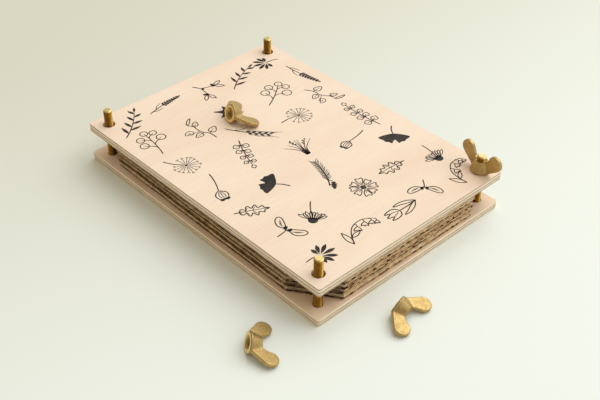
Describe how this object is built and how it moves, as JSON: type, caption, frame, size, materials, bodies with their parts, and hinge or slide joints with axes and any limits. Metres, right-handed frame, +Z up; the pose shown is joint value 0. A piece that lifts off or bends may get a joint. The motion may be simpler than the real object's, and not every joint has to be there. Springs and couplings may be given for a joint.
{
  "type": "flower press",
  "caption": "Flat press for drying flowers: two plywood boards on long brass bolts squeeze corrugated cards and blotting papers under wing nuts, some of them taken off.",
  "frame": {"origin": "centre of the bottom board's underside", "axes": "+X along the long side towards the end with the fitted nut, +Y along the short side, +Z up"},
  "size_m": [0.2763, 0.2165, 0.0482],
  "materials": {
    "plywood": "satin",
    "brass_bolts": "satin",
    "brass_nuts": "satin",
    "corrugated_card": "matte",
    "blotting_paper": "matte"
  },
  "bodies": {
    "base": {"bottom_board": "plywood", "bolt_near": "brass_bolts", "bolt_left": "brass_bolts", "bolt_rear": "brass_bolts", "bolt_right": "brass_bolts"},
    "first_card": {"card_1": "corrugated_card"},
    "lower_papers": {"paper_1": "blotting_paper", "paper_2": "blotting_paper", "paper_3": "blotting_paper"},
    "second_card": {"card_2": "corrugated_card"},
    "middle_paper": {"paper_4": "blotting_paper"},
    "third_card": {"card_3": "corrugated_card"},
    "upper_paper": {"paper_5": "blotting_paper"},
    "fourth_card": {"card_4": "corrugated_card"},
    "top_papers": {"paper_6": "blotting_paper", "paper_7": "blotting_paper", "paper_8": "blotting_paper", "paper_9": "blotting_paper", "paper_10": "blotting_paper", "paper_11": "blotting_paper", "paper_12": "blotting_paper", "paper_13": "blotting_paper", "paper_14": "blotting_paper", "paper_15": "blotting_paper"},
    "pressing_board": {"top_board": "plywood"},
    "turning_nut": {"nut_fitted": "brass_nuts"},
    "board_nut": {"nut_on_board": "brass_nuts"},
    "corner_nut": {"nut_by_corner": "brass_nuts"},
    "end_nut": {"nut_by_end": "brass_nuts"}
  },
  "joints": [
    {"name": "first_card_lift", "type": "slide", "parent": "base", "child": "first_card", "axis": [0, 0, 1], "range_m": [0, 0.01]},
    {"name": "lower_papers_lift", "type": "slide", "parent": "first_card", "child": "lower_papers", "axis": [0, 0, 1], "range_m": [0, 0.01]},
    {"name": "second_card_lift", "type": "slide", "parent": "lower_papers", "child": "second_card", "axis": [0, 0, 1], "range_m": [0, 0.01]},
    {"name": "middle_paper_lift", "type": "slide", "parent": "second_card", "child": "middle_paper", "axis": [0, 0, 1], "range_m": [0, 0.01]},
    {"name": "third_card_lift", "type": "slide", "parent": "middle_paper", "child": "third_card", "axis": [0, 0, 1], "range_m": [0, 0.01]},
    {"name": "upper_paper_lift", "type": "slide", "parent": "third_card", "child": "upper_paper", "axis": [0, 0, 1], "range_m": [0, 0.01]},
    {"name": "fourth_card_lift", "type": "slide", "parent": "upper_paper", "child": "fourth_card", "axis": [0, 0, 1], "range_m": [0, 0.01]},
    {"name": "top_papers_lift", "type": "slide", "parent": "fourth_card", "child": "top_papers", "axis": [0, 0, 1], "range_m": [0, 0.01]},
    {"name": "pressing_board_lift", "type": "slide", "parent": "top_papers", "child": "pressing_board", "axis": [0, 0, 1], "range_m": [0, 0.0101]},
    {"name": "fitted_nut_turn", "type": "hinge", "parent": "pressing_board", "child": "turning_nut", "pos_m": [0.1066, 0.0751, 0.03075], "axis": [0, 0, 1], "range_deg": [0, 3600]},
    {"name": "board_nut_lift", "type": "slide", "parent": "pressing_board", "child": "board_nut", "axis": [0, 0, 1], "range_m": [0, 0.04]},
    {"name": "corner_nut_lift", "type": "slide", "parent": "base", "child": "corner_nut", "axis": [0, 0, 1], "range_m": [0, 0.04]},
    {"name": "end_nut_lift", "type": "slide", "parent": "base", "child": "end_nut", "axis": [0, 0, 1], "range_m": [0, 0.04]}
  ],
  "couplings": [
    {"joint": "pressing_board_lift", "follows": "fitted_nut_turn", "m_per_rad": 0.00015915}
  ]
}
